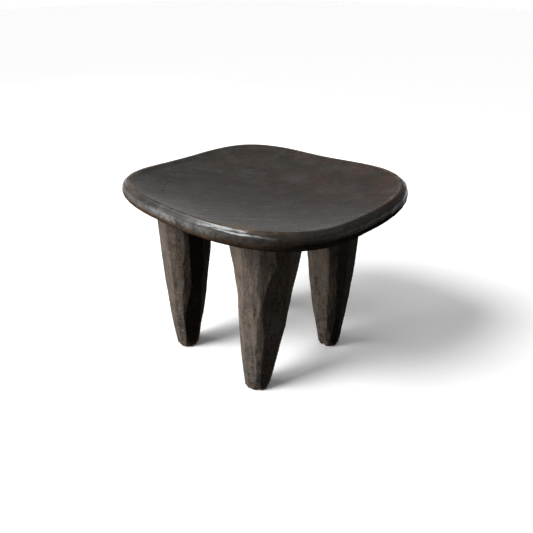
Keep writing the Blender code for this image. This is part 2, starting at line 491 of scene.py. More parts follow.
@dataclass(frozen=True)
class WaxedSeatWood:
    """Nearly black wood, waxed and rubbed by use, with bare brown wood where its edges are worn; it also
    carries a painted highlight on the front corner's crest, a painted reflection on the left edge and painted
    shade in its hollows.
    """
    name: str = "waxed_seat_wood"
    deep: Colour = (0.0196, 0.0156, 0.0121)
    body: Colour = (0.0310, 0.0255, 0.0206)
    pale: Colour = (0.047, 0.041, 0.035)
    olive: Colour = (0.026, 0.0275, 0.021)
    red: Colour = (0.054, 0.019, 0.012)
    fleck: Colour = (0.090, 0.058, 0.041)
    pore: Colour = (0.009, 0.007, 0.006)
    rubbed: Colour = (0.33, 0.205, 0.130)
    lower: Colour = (0.060, 0.035, 0.022)
    # pale grey for the left edge: partly scuffing, partly a painted reflection of the light
    scuffed: Colour = (0.112, 0.108, 0.104)
    edge: Colour = (0.026, 0.018, 0.013)
    crack: Colour = (0.007, 0.005, 0.004)
    dry: Colour = (0.026, 0.016, 0.011)
    bloom: Colour = (0.110, 0.110, 0.110)
    patches: Cloud = Cloud(26.0, 4.0, 0.65, 0.38, 0.62)
    olive_patches: Cloud = Cloud(17.0, 4.0, 0.7, 0.46, 0.66)
    red_patches: Cloud = Cloud(34.0, 4.0, 0.65, 0.44, 0.66)
    red_along: Pair = (-0.06, 0.15)
    red_across: Pair = (-0.12, -0.02)
    red_least: float = 0.30
    grain_turn: float = 43.1
    broad_scales: Pair = (13.0, 90.0)
    fine_scales: Pair = (34.0, 420.0)
    fleck_scales: Pair = (70.0, 190.0)
    stroke_scales: Pair = (240.0, 110.0)
    roughness: Pair = (0.19, 0.31)
    specular: float = 0.16
    bump: Pair = (0.25, 0.0004)

    def material(self, effects: Effects) -> bpy.types.Material:
        """Make the finish.

        Args:
            effects: The shared shader groups.

        Returns:
            The material.
        """
        material, graph, place = new_finish(self.name)
        along = graph.turned(place, (0.0, 0.0, -math.radians(self.grain_turn)))
        broad = effects.grained(graph, along, self.broad_scales)
        fine = effects.grained(graph, along, self.fine_scales)
        flecks = effects.grained(graph, along, self.fleck_scales)
        strokes = effects.grained(graph, place, self.stroke_scales)
        wall = graph.mark(Mark.WALL)
        under = graph.mark(Mark.UNDER)
        rim = effects.worn(graph, along, graph.mark(Mark.RIM), 1.0)
        lower = effects.worn(graph, place, graph.mark(Mark.LOWER), 1.8)
        scuff_and_reflection = effects.worn(graph, place, graph.mark(Mark.SCUFF_AND_REFLECTION), 1.6)
        bloom = graph.group(effects.bloom, Vector=along, Amount=0.4)["Bloom"]
        worked = graph.mix(graph.span(strokes["Streak"], 0.2, 0.8), self.edge, self.crack)
        colour = graph.glaze(
            graph.mix(graph.cloud(along, self.patches), self.deep, self.body),
            (graph.cloud(along, self.olive_patches), 0.8, self.olive),
            (self.red_share(graph, along), None, self.red),
            (broad["Streak"], 0.28, self.pale),
            (fine["Streak"], 0.26, self.pale),
            (fine["Pore"], 0.4, self.pore),
            (broad["Line"], 0.4, self.pore),
            (flecks["Pore"], 0.3, self.fleck),
            (bloom, None, self.bloom),
            (wall, 0.85, worked),
            (under, None, graph.mix(fine["Streak"], self.dry, self.deep)),
            # pale grey on the left edge, partly scuffing and partly a painted reflection
            (scuff_and_reflection, None, self.scuffed),
            (lower, None, self.lower),
            (rim, None, self.rubbed),
            # painted shade in the hollows and creases
            (graph.mark(Mark.PAINTED_HOLLOW_SHADE), None, self.pore))
        drawn = graph.total(0.0, (fine["Streak"], 0.5), (broad["Streak"], 0.5))
        sheen = graph.span(drawn, 0.15, 0.85, *self.roughness)
        rough = graph.total(sheen, (wall, 0.16), (under, 0.2), (rim, 0.15))
        height = graph.total(0.0, (fine["Streak"], 0.5), (broad["Streak"], 0.3))
        graph.surface(colour, rough, height, self.bump, self.specular)
        return material

    def red_share(self, graph: Graph, along: Socket) -> Socket:
        """Where the wood shows red-brown: in patches, and more towards the far end of the grain."""
        reach = graph.node("ShaderNodeSeparateXYZ", {"Vector": along}).outputs
        far = graph.span(reach["X"], *self.red_along, self.red_least)
        back = graph.span(reach["Y"], *self.red_across, self.red_least)
        patch = graph.cloud(along, self.red_patches)
        return graph.math("MULTIPLY", patch, graph.math("MULTIPLY", far, back))


@dataclass(frozen=True)
class ThinWaxSeatWood(WaxedSeatWood):
    """The same wood on the upright edge, where the wax is thin."""
    name: str = "thin_wax_seat_wood"
    specular: float = 0.06


@dataclass(frozen=True)
class DrySeatWood(WaxedSeatWood):
    """The same wood under the seat, which the wax never reached."""
    name: str = "dry_seat_wood"
    edge: Colour = (0.045, 0.031, 0.022)
    crack: Colour = (0.020, 0.014, 0.010)
    specular: float = 0.0


@dataclass(frozen=True)
class HewnLegWood:
    """Grey-brown wood as the adze left it, pale on its edges and at the rubbed feet; painted shade lies on
    the side of some legs turned from the light and in the hollows, and each leg's wood is painted lighter or
    darker for the light that reaches it.
    """
    deep: Colour = (0.036, 0.025, 0.018)
    body: Colour = (0.094, 0.071, 0.055)
    pale: Colour = (0.185, 0.150, 0.121)
    # near-black painted shade for the side of a leg turned from the light
    painted_shade: Colour = (0.010, 0.006, 0.004)
    pore: Colour = (0.012, 0.008, 0.005)
    rubbed: Colour = (0.220, 0.172, 0.130)
    raw: Colour = (0.260, 0.150, 0.075)
    bloom: Colour = (0.150, 0.142, 0.136)
    grime: Colour = (0.030, 0.026, 0.023)
    dust: Colour = (0.080, 0.079, 0.077)
    patches: Cloud = Cloud(42.0, 4.0, 0.65, 0.36, 0.64)
    nicked: Cloud = Cloud(70.0, 2.0, 0.6, 0.48, 0.56)
    smudges: Cloud = Cloud(130.0, 4.0, 0.7, 0.36, 0.62)
    pits: Cloud = Cloud(430.0, 3.0, 0.75, 0.50, 0.68, 0.0, 0.35)
    grain_scales: Pair = (16.0, 260.0)
    fibre_scales: Pair = (40.0, 900.0)
    dash_scales: Pair = (50.0, 210.0)
    rasp_scales: Pair = (110.0, 620.0)
    nick_scales: Pair = (60.0, 95.0)
    scrape_scales: Pair = (90.0, 170.0)
    foot_fade: tuple[float, ...] = (0.001, 0.012, 1.0, 0.0)
    scuff_fade: tuple[float, ...] = (0.02, 0.08, 0.95, 0.65)
    dirt_fade: tuple[float, ...] = (0.004, 0.095, 0.90, 0.20)
    roughness: Pair = (0.62, 0.80)
    specular: float = 0.01
    bump: Pair = (0.8, 0.0012)

    def material(self, effects: Effects) -> bpy.types.Material:
        """Make the finish.

        Args:
            effects: The shared shader groups.

        Returns:
            The material.
        """
        material, graph, place = new_finish("hewn_leg_wood")
        upright = graph.turned(place, (0.0, math.radians(90), 0.0))
        grain = effects.grained(graph, upright, self.grain_scales)
        fibre = effects.grained(graph, upright, self.fibre_scales)
        dash = effects.grained(graph, upright, self.dash_scales)
        rasp = effects.grained(graph, place, self.rasp_scales)
        nick = effects.grained(graph, place, self.nick_scales)
        scrape = effects.grained(graph, place, self.scrape_scales)
        rise = graph.node("ShaderNodeSeparateXYZ", {"Vector": place}).outputs["Z"]
        scuffed = graph.span(rise, *self.scuff_fade)
        dirty = graph.span(rise, *self.dirt_fade)
        raw = effects.worn(graph, place, graph.span(rise, *self.foot_fade), 0.6)
        arris = effects.worn(graph, place, graph.mark(Mark.ARRIS), 0.9)
        bloom = graph.group(effects.bloom, Vector=place, Amount=0.5)["Bloom"]
        struck = graph.math("MULTIPLY", graph.cloud(place, self.nicked), scuffed)
        wood = graph.glaze(
            graph.mix(graph.cloud(upright, self.patches), self.deep, self.body),
            (grain["Streak"], 0.6, self.pale),
            (rasp["Streak"], 0.28, self.pale),
            (fibre["Pore"], 0.6, self.pore),
            (grain["Line"], 0.7, self.pore))
        # painted light: the leg's whole wood is brightened or darkened for the light that reaches it
        painted_light_wood = graph.node("ShaderNodeVectorMath", {"Vector": wood, "Scale": graph.mark(Mark.PAINTED_LIGHT_LEVEL)},
                            operation="SCALE").outputs["Vector"]
        colour = graph.glaze(
            painted_light_wood,
            (nick["Line"], struck, self.pore),
            (bloom, None, self.bloom),
            (dirty, 0.45, self.dust),
            (graph.cloud(place, self.smudges), dirty, self.grime),
            (graph.cloud(place, self.pits), scuffed, self.pore),
            (dash["Pore"], dirty, self.pore),
            (dash["Line"], 0.6, self.pore),
            (rasp["Pore"], 0.4, self.pore),
            (scrape["Line"], 0.5, self.pale),
            # painted shade on the side of the leg turned from the light
            (graph.mark(Mark.PAINTED_SHADE), None, self.painted_shade),
            (arris, None, self.rubbed),
            (raw, None, self.raw),
            # painted shade in the hollows and creases
            (graph.mark(Mark.PAINTED_HOLLOW_SHADE), 0.6, self.pore))
        rough = graph.span(grain["Streak"], 0.0, 1.0, *self.roughness)
        height = graph.total(0.0, (grain["Streak"], 0.35), (rasp["Streak"], 0.3), (nick["Streak"], 0.35))
        graph.surface(colour, rough, height, self.bump, self.specular)
        return material


@dataclass(frozen=True)
class Blemish:
    """A crack or a small knot in the seat's top: the points it runs through, its half width and its depth."""
    path: tuple[Pair, ...]
    half_width: float
    depth: float

    def away(self, x: float, y: float) -> float:
        """Distance from a point of the seat to the blemish, seen from above."""
        here = Vector((x, y))
        points = [Vector(point) for point in self.path]
        nearest = min((here - point).length for point in points)
        for start, end in zip(points, points[1:]):
            run = end - start
            share = min(max((here - start).dot(run) / run.length_squared, 0.0), 1.0)
            nearest = min(nearest, (here - start - share * run).length)
        return nearest


@dataclass
class Seat:
    """The dished slab, with a worn rim, a rolled edge and mortises for the legs underneath.

    A drop is a depth below the dished top, and a scale is a number of waves or marks to the metre.
    """
    length: float = 0.356
    width: float = 0.306
    height: float = 0.2357
    thickness: float = 0.0227
    squareness: float = 3.13
    end_swell: float = 0.0022
    corner_swells: tuple[Sector, ...] = (Sector(42, 22, 0.0020), Sector(205, 26, 0.0010))
    rise_length: float = 0.013
    rise_width: float = 0.019
    lean_length: float = 0.0015
    lean_width: float = 0.0039
    edge_roll: float = 0.0083
    lip: float = 0.0003
    lip_width: float = 0.014
    lip_tips: tuple[Sector, ...] = (Sector(45, 30, 0.0012), Sector(195, 30, 0.0012))
    bevel_width: float = 0.0068
    bevel_drop: float = 0.0064
    bevel_hollow: Sector = Sector(-112, 42, 0.0006)
    hollow_middle: float = 0.56
    hollow_spread: float = 0.19
    crest_ease: float = 0.0021
    bevel_ease: float = 0.0027
    wall_drop: float = 0.0130
    wall_fade: Pair = (0.8, 1.4)
    finish_drops: tuple[float, ...] = (0.0095, 0.0132)
    top_ripple: float = 0.00025
    top_scale: float = 22
    edge_ripple: float = 0.0005
    ripple_scale: Pair = (5, 60)
    edge_cuts: float = 0.0008
    cut_scale: Pair = (17, 150)
    cut_slope: float = 1.6
    adze_depth: float = 0.0006
    adze_scale: Pair = (26, 55)
    adze_seed: float = 3.0
    adze_margin: float = 0.9
    rim_base: float = 0.22
    # the stretch at -54 degrees is partly a painted highlight: rubbed colour laid on the front corner's crest
    # where light catches it
    rim_wear_and_highlight_parts: tuple[Sector, ...] = (Sector(-140, 26, 0.78), Sector(32, 20, 0.78), Sector(-80, 46, 0.2),
                                    Sector(-54, 14, 0.5))
    rim_turned: Sector = Sector(-40, 16)
    crease_width: float = 0.0020
    crease_inset: Pair = (0.95, 1.2)
    crease_spread: tuple[float, float, float] = (0.4, 0.6, 0.5)
    sat_on: Sector = Sector(-66, 30, 0.35)
    sat_width: float = 0.009
    # the pale grey on the left edge, the side towards the light, is partly scuffing and partly a painted
    # reflection
    scuffed: Sector = Sector(-97, 34)
    scuff_and_reflection_reach: Sector = Sector(-80, 16, 0.0040)
    scuff_fade: float = 0.0045
    lower_worn: Sector = Sector(-110, 68)
    lower_fade: Pair = (0.0008, 0.0035)
    dry_fade: Pair = (0.0060, 0.0010)
    relief_gain: float = 2.0
    steps: int = 560
    dish_rings: int = 54
    ring_bias: float = 0.8
    corner_steps: int = 7
    bevel_steps: int = 10
    wall_steps: int = 5
    lower_steps: int = 14
    under_rings: int = 36
    blemishes: tuple[Blemish, ...] = (
        Blemish(((-0.1085, -0.0660), (-0.0993, -0.0803), (-0.0840, -0.0920), (-0.0770, -0.1040)),
                0.0009, 0.0006),
        Blemish(((-0.1163, -0.0790), (-0.0993, -0.0803)), 0.0007, 0.0004),
        Blemish(((0.0745, 0.0359), (0.0752, 0.0366)), 0.0021, 0.0006),
    )
    blemish_slope: float = 0.8
    blemish_rounds: tuple[tuple[float, int], ...] = ((5.0, 2), (2.4, 1))

    def outline_radius(self, angle: float) -> float:
        """Distance from the middle of the seat to its edge in one direction."""
        along = abs(math.cos(angle)) / (self.length / 2)
        across = abs(math.sin(angle)) / (self.width / 2)
        square = (along ** self.squareness + across ** self.squareness) ** (-1 / self.squareness)
        swell = sum(corner.at(math.degrees(angle)) for corner in self.corner_swells)
        return square - self.end_swell * math.cos(3 * angle) + swell

    def dish(self, x: float, y: float) -> float:
        """Height of the dished top above the bottom of the dish."""
        ends = self.rise_length * (2 * x / self.length) ** 2
        sides = self.rise_width * (2 * y / self.width) ** 2
        return ends + sides + self.lean_length * x / self.length + self.lean_width * y / self.width

    def underside(self, x: float, y: float) -> float:
        """Height of the seat's underside over one point of the floor."""
        return self.height + self.dish(x, y) - self.thickness

    @property
    def blank_radius(self) -> float:
        """Radius of the round blank that the seat is drawn out from."""
        return (self.length + self.width) / 4

    @property
    def inner_radius(self) -> float:
        """Radius of the blank inside its rolled edge."""
        return self.blank_radius - self.edge_roll

    def profile(self) -> list[Vector]:
        """Half section of the flat round blank: out over the top, down the bevelled edge, back underneath.

        Returns:
            Radius and height of each point.
        """
        inner = self.inner_radius
        crest = Vector((inner, 0.0))
        arris = Vector((inner + self.bevel_width, -self.bevel_drop))
        foot = Vector((self.blank_radius, -self.wall_drop))
        top = [Vector((inner * (ring / self.dish_rings) ** self.ring_bias, 0.0))
               for ring in range(self.dish_rings)]
        crest_turn = eased_corner(top[-1], crest, arris, self.crest_ease, self.corner_steps)
        arris_turn = eased_corner(crest, arris, foot, self.bevel_ease, self.corner_steps)
        bevel = [crest_turn[-1].lerp(arris_turn[0], step / self.bevel_steps)
                 for step in range(1, self.bevel_steps)]
        wall = [arris_turn[-1].lerp(foot, step / self.wall_steps) for step in range(1, self.wall_steps)]
        lower = []
        for step in range(self.lower_steps + 1):
            angle = math.pi / 2 * step / self.lower_steps
            lower.append(Vector((inner + self.edge_roll * math.cos(angle),
                                 -self.wall_drop - (self.thickness - self.wall_drop) * math.sin(angle))))
        under = [Vector((inner * ring / self.under_rings, -self.thickness))
                 for ring in reversed(range(self.under_rings))]
        return top + crest_turn + bevel + arris_turn + wall + lower + under

    def draw_out(self, blank: Vector) -> Vector:
        """Move a point of the round blank to its place on the seat, with the ripples that the tools left.

        Args:
            blank: The point on the blank.

        Returns:
            The point on the seat.
        """
        angle = math.atan2(blank.y, blank.x)
        radius = math.hypot(blank.x, blank.y)
        growth = self.outline_radius(angle) - self.blank_radius
        drawn = radius + growth * min(radius / self.inner_radius, 1.0)
        turn = math.degrees(angle)
        worn = self.bevel_hollow.at(turn)
        worn *= (bell(-blank.z / self.bevel_drop - self.hollow_middle, self.hollow_spread)
                 / math.hypot(self.bevel_width, self.bevel_drop))
        drawn -= worn * self.bevel_drop
        edge_share = smooth_step(self.inner_radius, self.blank_radius, radius)
        out = Vector((math.cos(angle), math.sin(angle), 0.0))
        ripple = noise.noise(wrapped(out.x, out.y, blank.z, self.ripple_scale))
        drawn += self.edge_ripple * edge_share * ripple
        reach = tool_mark(wrapped(out.x, out.y, blank.z, self.cut_scale))
        drawn += self.edge_cuts * edge_share * (min(self.cut_slope * reach, 1.0) - 0.5)
        x = drawn * math.cos(angle) + self.end_swell
        y = drawn * math.sin(angle)
        z = blank.z + self.height + self.dish(x, y) - worn * self.bevel_width
        raised = smooth_step(self.inner_radius - self.lip_width, self.inner_radius, radius)
        lip = self.lip + max(tip.at(turn) for tip in self.lip_tips)
        z += lip * raised * smooth_step(-self.wall_drop, 0.0, blank.z)
        if blank.z > -self.wall_drop:
            z += self.top_ripple * noise.noise(Vector((x * self.top_scale, y * self.top_scale, 0.0)))
        elif radius < self.inner_radius:
            along, across = self.adze_scale
            reach = tool_mark(Vector(((x + y) * along, (y - x) * across, self.adze_seed)))
            margin = smooth_step(self.inner_radius, self.inner_radius * self.adze_margin, radius)
            z += self.adze_depth * max(0.0, 1 - reach) * margin
        return Vector((x, y, z))

    def blank(self) -> BMesh:
        """Turn the flat round blank by spinning its half section."""
        bm = bmesh.new()
        verts = [bm.verts.new((point.x, 0.0, point.y)) for point in self.profile()]
        edges = [bm.edges.new(pair) for pair in zip(verts, verts[1:])]
        bmesh.ops.spin(bm, geom=verts + edges, cent=(0, 0, 0), axis=(0, 0, 1), angle=2 * math.pi,
                       steps=self.steps, use_merge=True)
        bmesh.ops.remove_doubles(bm, verts=bm.verts, dist=MERGE_DISTANCE)
        return bm

    def cut_blemish(self, bm: BMesh, blemish: Blemish) -> None:
        """Sink one crack or knot into the top, on a mesh made finer round it.

        Args:
            bm: The seat's mesh, in place.
            blemish: The crack or knot.
        """
        def on_top(vert: BMVert) -> bool:
            """Whether a point belongs to the upper half of the seat."""
            return vert.co.z > self.underside(vert.co.x, vert.co.y) + self.thickness / 2

        for reach, cuts in self.blemish_rounds:
            near = [edge for edge in bm.edges if all(on_top(vert) for vert in edge.verts)
                    and min(blemish.away(vert.co.x, vert.co.y) for vert in edge.verts)
                    < reach * blemish.half_width]
            bmesh.ops.subdivide_edges(bm, edges=near, cuts=cuts, use_grid_fill=True)
        for vert in bm.verts:
            if on_top(vert):
                away = blemish.away(vert.co.x, vert.co.y) / blemish.half_width
                vert.co.z -= blemish.depth * max(0.0, 1 - away) ** self.blemish_slope

    def mark_wear(self, bm: BMesh) -> None:
        """Mark the worn rim, partly a painted highlight on the front corner; the edge, scuffed and rubbed and
        partly a painted reflection on the left; the dry underside; and the relief of the surface, with
        painted shade in its hollows.
        """
        inner = self.inner_radius

        def across(vert: BMVert) -> Pair:
            """Direction of a point in degrees, and its radius on the blank."""
            angle = math.atan2(vert.co.y, vert.co.x - self.end_swell)
            radius = math.hypot(vert.co.x - self.end_swell, vert.co.y)
            growth = self.outline_radius(angle) - self.blank_radius
            inside = radius < inner + growth
            return math.degrees(angle), radius / (1 + growth / inner) if inside else radius - growth

        def depth(vert: BMVert) -> float:
            """How far a point lies below the dished top."""
            return self.height + self.dish(vert.co.x, vert.co.y) - vert.co.z

        def rim(vert: BMVert) -> float:
            """Wear along the crest where the dish meets the bevelled edge, and where the stool is sat on; on
            the front corner it is partly a painted highlight.
            """
            if depth(vert) > self.bevel_drop:
                return 0.0
            angle, radius = across(vert)
            strength = min(sum((part.at(angle) for part in self.rim_wear_and_highlight_parts), self.rim_base), 1.0)
            corner = self.rim_turned.at(angle)
            inset, shift = self.crease_inset
            thin, worn, turned = self.crease_spread
            middle = inner - self.crease_width * (inset - shift * corner)
            spread = self.crease_width * (thin + worn * strength + turned * corner)
            sat_on = self.sat_on.at(angle) * bell(radius - inner + self.sat_width, self.sat_width)
            return max(strength * bell(radius - middle, spread), sat_on)

        def wall(vert: BMVert) -> float:
            """Share of the upright edge below the bevel."""
            start, full = self.wall_fade
            return smooth_step(self.bevel_drop * start, self.bevel_drop * full, depth(vert))

        def scuff_and_reflection(vert: BMVert) -> float:
            """Pale grey on the edge on the left, the side towards the light: partly scuffing, partly a
            painted reflection.
            """
            angle, radius = across(vert)
            if radius < inner:
                return 0.0
            reach = self.wall_drop + self.scuff_and_reflection_reach.at(angle)
            fade = smooth_step(reach + self.scuff_fade, reach, depth(vert))
            return self.scuffed.at(angle) * wall(vert) * fade

        def lower(vert: BMVert) -> float:
            """Wear along the lower turn of the edge, on the left and the front."""
            angle, radius = across(vert)
            if depth(vert) < self.wall_drop or radius < inner:
                return 0.0
            start, full = self.lower_fade
            fade = smooth_step(self.wall_drop + start, self.wall_drop + full, depth(vert))
            return self.lower_worn.at(angle) * fade

        def under(vert: BMVert) -> float:
            """Share of dry wood, from the lower turn of the edge inwards."""
            start, short = self.dry_fade
            return smooth_step(self.wall_drop + start, self.thickness - short, depth(vert))

        marks = {Mark.RIM: rim, Mark.WALL: wall, Mark.SCUFF_AND_REFLECTION: scuff_and_reflection, Mark.LOWER: lower, Mark.UNDER: under}
        for mark, value in marks.items():
            keep_mark(bm, mark, value)
        keep_relief(bm, self.relief_gain)

    def build(self, legs: list["HewnLeg"]) -> bpy.types.Object:
        """Make the seat, with a mortise for each leg.

        Args:
            legs: The legs that are tenoned into it.

        Returns:
            The seat, in place.
        """
        bm = self.blank()
        for vert in bm.verts:
            vert.co = self.draw_out(vert.co)
        for blemish in self.blemishes:
            self.cut_blemish(bm, blemish)
        bmesh.ops.recalc_face_normals(bm, faces=bm.faces)
        seat = add_piece("stool_seat", bm)
        pegs = bmesh.new()
        for leg in legs:
            leg.add_mortise(pegs)
        cutter = add_piece("mortises", pegs)
        cut = seat.modifiers.new("mortises", "BOOLEAN")
        cut.object = cutter
        cut.operation = "DIFFERENCE"
        cut.solver = "EXACT"
        shaped = seat.evaluated_get(bpy.context.evaluated_depsgraph_get())
        bm = bmesh.new()
        bm.from_mesh(shaped.to_mesh())
        shaped.to_mesh_clear()
        seat.modifiers.clear()
        bpy.data.objects.remove(cutter)
        bmesh.ops.triangulate(bm, faces=[face for face in bm.faces if len(face.verts) > 4])
        bmesh.ops.dissolve_degenerate(bm, dist=MERGE_DISTANCE, edges=bm.edges)
        bmesh.ops.dissolve_verts(bm, verts=[vert for vert in bm.verts if len(vert.link_edges) == 2])
        bm.normal_update()
        self.mark_wear(bm)
        bm.to_mesh(seat.data)
        bm.free()
        seat.data.shade_smooth()
        return seat

    def dress(self, seat: bpy.types.Object, finishes: list[bpy.types.Material]) -> None:
        """Give the seat its finishes and its place in the frame.

        Args:
            seat: The seat.
            finishes: The finishes from its top down to its underside.
        """
        for finish in finishes:
            seat.data.materials.append(finish)
        for face in seat.data.polygons:
            depth = self.height + self.dish(face.center.x, face.center.y) - face.center.z
            face.material_index = bisect.bisect(self.finish_drops, depth)
        hand_over(seat, "seat")


@dataclass(frozen=True)
class Stroke:
    """One stroke of the adze on a leg.

    The angle is in degrees round the leg, anticlockwise from straight outward. A scoop also has a width.
    """
    angle: float
    height: float
    length: float
    depth: float
    blade: Blade = Blade.FLAT
    width: float = 0.0


@dataclass(frozen=True)
class Hand:
    """How the small strokes fall: how many, how far off their line in degrees, and between which sizes."""
    count: int
    stray: float
    heights: Pair
    lengths: Pair
    depths: Pair

    def draw(self, chance: random.Random, angle: float) -> Stroke:
        """Draw one stroke near an angle."""
        return Stroke(angle + chance.uniform(-self.stray, self.stray), chance.uniform(*self.heights),
                      chance.uniform(*self.lengths), chance.uniform(*self.depths))


@dataclass
class HewnLeg:
    """One tapering leg of ten hewn faces, with strokes of the adze across them and a round tenon on top.

    top_out and foot_out are how far its top and foot stray outward from the middle of the seat, and
    top_turn and foot_turn how far they stray to the left of that. The edges are in degrees round the leg,
    anticlockwise from straight outward, and cuts seeds its small irregularities. seat is what it carries.
    """
    name: str
    seat: Seat
    side_x: int
    side_y: int
    top_out: float
    top_turn: float
    foot_out: float
    foot_turn: float
    edges: tuple[int, ...]
    cuts: int
    strokes: tuple[Stroke, ...] = ()
    # painted shade: faces that look one way from straight outward, the side turned from the light, are
    # painted near black
    painted_shade_turn: float = 0.0
    painted_shade_from: float = 0.0
    painted_shade_full: float = 1.0
    painted_shade_share: float = 0.0
    # painted light: a brightness for the whole leg's wood, for how much light reaches it
    painted_light_level: float = 1.0
    spacing_length: float = 0.149
    spacing_width: float = 0.141
    foot: float = 0.031
    depth: float = 0.077
    swell: float = 0.009
    breadth: float = 0.002
    flare: float = 0.016
    flare_height: float = 0.072
    foot_ease: float = 0.0022
    hewn_depth: float = 0.0016
    edge_wander: float = 4.0
    lean_curve: float = 1.5
    shoulder_width: float = 0.018
    mortise_roof: float = 0.0085
    mortise_gap: float = 0.0003
    shoulder_bite: float = 0.0003
    foot_round: float = 0.0034
    foot_row_bias: float = 1.5
    chip_depth: float = 0.0036
    chip_height: float = 0.014
    chip_from: float = 0.1
    chip_scale: Pair = (3.1, 90)
    adze_depth: float = 0.00028
    adze_scale: Pair = (75, 30)
    grit: float = 0.00016
    grit_scale: Pair = (260, 190)
    seed_step: float = 1.7
    smoothing: float = 0.15
    relief_gain: float = 5.0
    levels: int = 12
    cut_levels: int = 3
    face_columns: int = 16
    rows: int = 160
    foot_rows: int = 8
    spare_rise: float = 0.004
    scribe_from: float = 0.3
    scribe_rounds: int = 3
    tenon_sides: int = 48
    face_hand: Hand = Hand(16, 5, (0.015, 0.190), (0.030, 0.060), (0.0003, 0.0007))
    edge_hand: Hand = Hand(22, 9, (0.012, 0.195), (0.018, 0.050), (0.0003, 0.0008))

    def __post_init__(self) -> None:
        """Place the leg under its corner and draw its irregularities."""
        x = self.side_x * self.spacing_length / 2
        y = self.side_y * self.spacing_width / 2
        self.outward = math.atan2(y, x)
        x += self.top_out * math.cos(self.outward) - self.top_turn * math.sin(self.outward)
        y += self.top_out * math.sin(self.outward) + self.top_turn * math.cos(self.outward)
        self.stand = Matrix.Translation((x, y, 0.0)) @ Matrix.Rotation(self.outward, 4, "Z")
        self.shoulder = self.seat.underside(*self.stand.translation.xy)
        self.top = self.shoulder + self.seat.thickness / 2
        above = [self.top * level / (self.levels - 1) for level in range(1, self.levels)]
        self.heights = [self.foot_ease, *above]
        chance = random.Random(self.cuts)
        self.edge_turns = [self.broken_line(chance) for _ in self.edges]
        self.edge_cuts = [self.broken_line(chance) for _ in self.edges]
        self.all_strokes = [*self.strokes, *self.draw_strokes(chance)]

    def broken_line(self, chance: random.Random) -> list[float]:
        """A value between 0 and 1 at each level of the leg, straight between breaks that start anywhere."""
        first = chance.randrange(self.cut_levels)
        breaks = [chance.random() for _ in range(self.levels // self.cut_levels + 3)]
        values = []
        for level in range(self.levels + 1):
            run, step = divmod(level + first, self.cut_levels)
            share = step / self.cut_levels
            values.append(breaks[run] * (1 - share) + breaks[run + 1] * share)
        return values

    def draw_strokes(self, chance: random.Random) -> list[Stroke]:
        """Flat strokes over the hewn faces and shorter ones that take a lens off an edge.

        Args:
            chance: Where the random draws come from.

        Returns:
            The strokes.
        """
        strokes = []
        for count in range(self.face_hand.count):
            edge = self.edges[count % len(self.edges)]
            after = self.edges[(count + 1) % len(self.edges)]
            strokes.append(self.face_hand.draw(chance, edge + (after - edge) % 360 / 2))
        for count in range(self.edge_hand.count):
            strokes.append(self.edge_hand.draw(chance, self.edges[count % len(self.edges)]))
        return strokes

    def section(self, height: float) -> Pair:
        """Half depth and half width of the leg at one height."""
        share = height / self.shoulder
        depth = self.foot + (self.depth - self.foot) * share + 4 * self.swell * share * (1 - share)
        flare = self.flare * max(0.0, 1 - (self.shoulder - height) / self.flare_height)
        return depth / 2, (depth + self.breadth + flare) / 2

    def at_height(self, values: list[float], height: float) -> float:
        """One hewn edge's irregularity at a height between two levels.

        Args:
            values: The irregularity at the floor and at each level above it.
            height: The height.

        Returns:
            The irregularity there.
        """
        high, share = bracket(self.heights, height)
        share = min(max(share, 0.0), 1.0)
        return values[high] * (1 - share) + values[high + 1] * share

    def corners(self, height: float) -> list[Vector]:
        """Where the hewn edges pass one height, in the leg's own frame.

        Args:
            height: The height.

        Returns:
            One point for each edge.
        """
        half_depth, half_width = self.section(height)
        lean = max(0.0, 1 - height / self.shoulder) ** self.lean_curve
        points = []
        for edge, turns, cuts in zip(self.edges, self.edge_turns, self.edge_cuts):
            angle = math.radians(edge + self.edge_wander * (2 * self.at_height(turns, height) - 1))
            full = 1 - self.hewn_depth * self.at_height(cuts, height) / (self.depth / 2)
            points.append(Vector((full * half_depth * math.cos(angle) + self.foot_out * lean,
                                  full * half_width * math.sin(angle) + self.foot_turn * lean, height)))
        return points

    def row_heights(self) -> list[float]:
        """Heights of the mesh's rows: close together round the foot, then even up to the shoulder."""
        low = [self.foot_round * (row / self.foot_rows) ** self.foot_row_bias
               for row in range(self.foot_rows)]
        count = self.rows - self.foot_rows
        rise = self.shoulder - self.foot_round
        return low + [self.foot_round + rise * row / count for row in range(count + 1)]

    def blank(self) -> BMesh:
        """A plain round bar with enough rows and columns for the hewn shape."""
        bm = bmesh.new()
        columns = self.face_columns * len(self.edges)
        bmesh.ops.create_cone(bm, cap_ends=True, segments=columns, radius1=1.0, radius2=1.0, depth=1.0)
        uprights = [edge for edge in bm.edges if edge.verts[0].co.z * edge.verts[1].co.z < 0]
        bmesh.ops.subdivide_edges(bm, edges=uprights, cuts=self.rows - 1)
        return bm

    def hew(self, bm: BMesh) -> None:
        """Bring the blank to the leg's hewn faces, scribed to the underside of the seat.

        Args:
            bm: The blank.
        """
        columns = self.face_columns * len(self.edges)
        heights = self.row_heights()
        spare = heights + [self.shoulder + self.spare_rise, self.top]
        rings = [self.corners(height) for height in spare]

        def on_face(ring: int, column: int) -> Vector:
            """A point on one hewn face, on one ring of corners."""
            face, step = divmod(column, self.face_columns)
            share = step / self.face_columns
            return rings[ring][face].lerp(rings[ring][(face + 1) % len(self.edges)], share)

        def between(height: float, column: int) -> Vector:
            """A point on one hewn face at any height."""
            high, share = bracket(spare, height)
            return on_face(high - 1, column).lerp(on_face(high, column), share)

